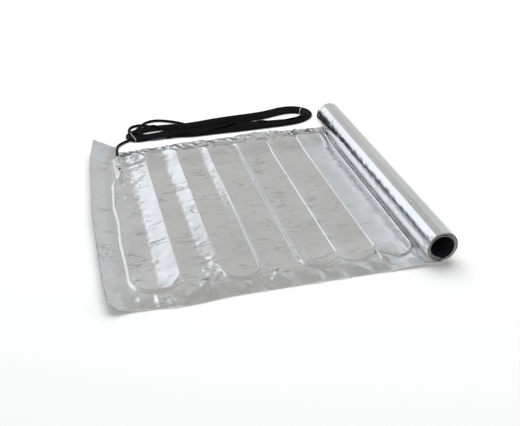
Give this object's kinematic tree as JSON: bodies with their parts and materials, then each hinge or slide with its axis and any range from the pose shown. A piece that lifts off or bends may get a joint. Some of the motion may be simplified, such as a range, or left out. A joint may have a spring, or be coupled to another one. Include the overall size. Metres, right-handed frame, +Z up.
{
  "type": "underfloor heating mat",
  "caption": "Aluminium-foil underfloor heating mat, partly unrolled, with a serpentine heating cable under the foil and a folded cold lead.",
  "frame": {"origin": "middle of the footprint of the foil mat with its roll, on the floor; the cold lead is not counted", "axes": "+X from the free end towards the roll, +Y across the mat towards the lead, +Z up"},
  "size_m": [0.5118, 0.609, 0.0512],
  "materials": {
    "foil": "satin",
    "lead_sheath": "matte",
    "cable_sheath": "satin",
    "tie": "satin",
    "core_blue": "satin",
    "core_brown": "satin"
  },
  "bodies": {
    "root": {"foil_mat": "foil", "heating_cable": "cable_sheath", "lead_splice": "lead_sheath", "cold_lead": "lead_sheath", "lead_hank": "lead_sheath", "tie_left": "tie", "tie_right": "tie", "core_blue": "core_blue", "core_brown": "core_brown"}
  },
  "joints": []
}
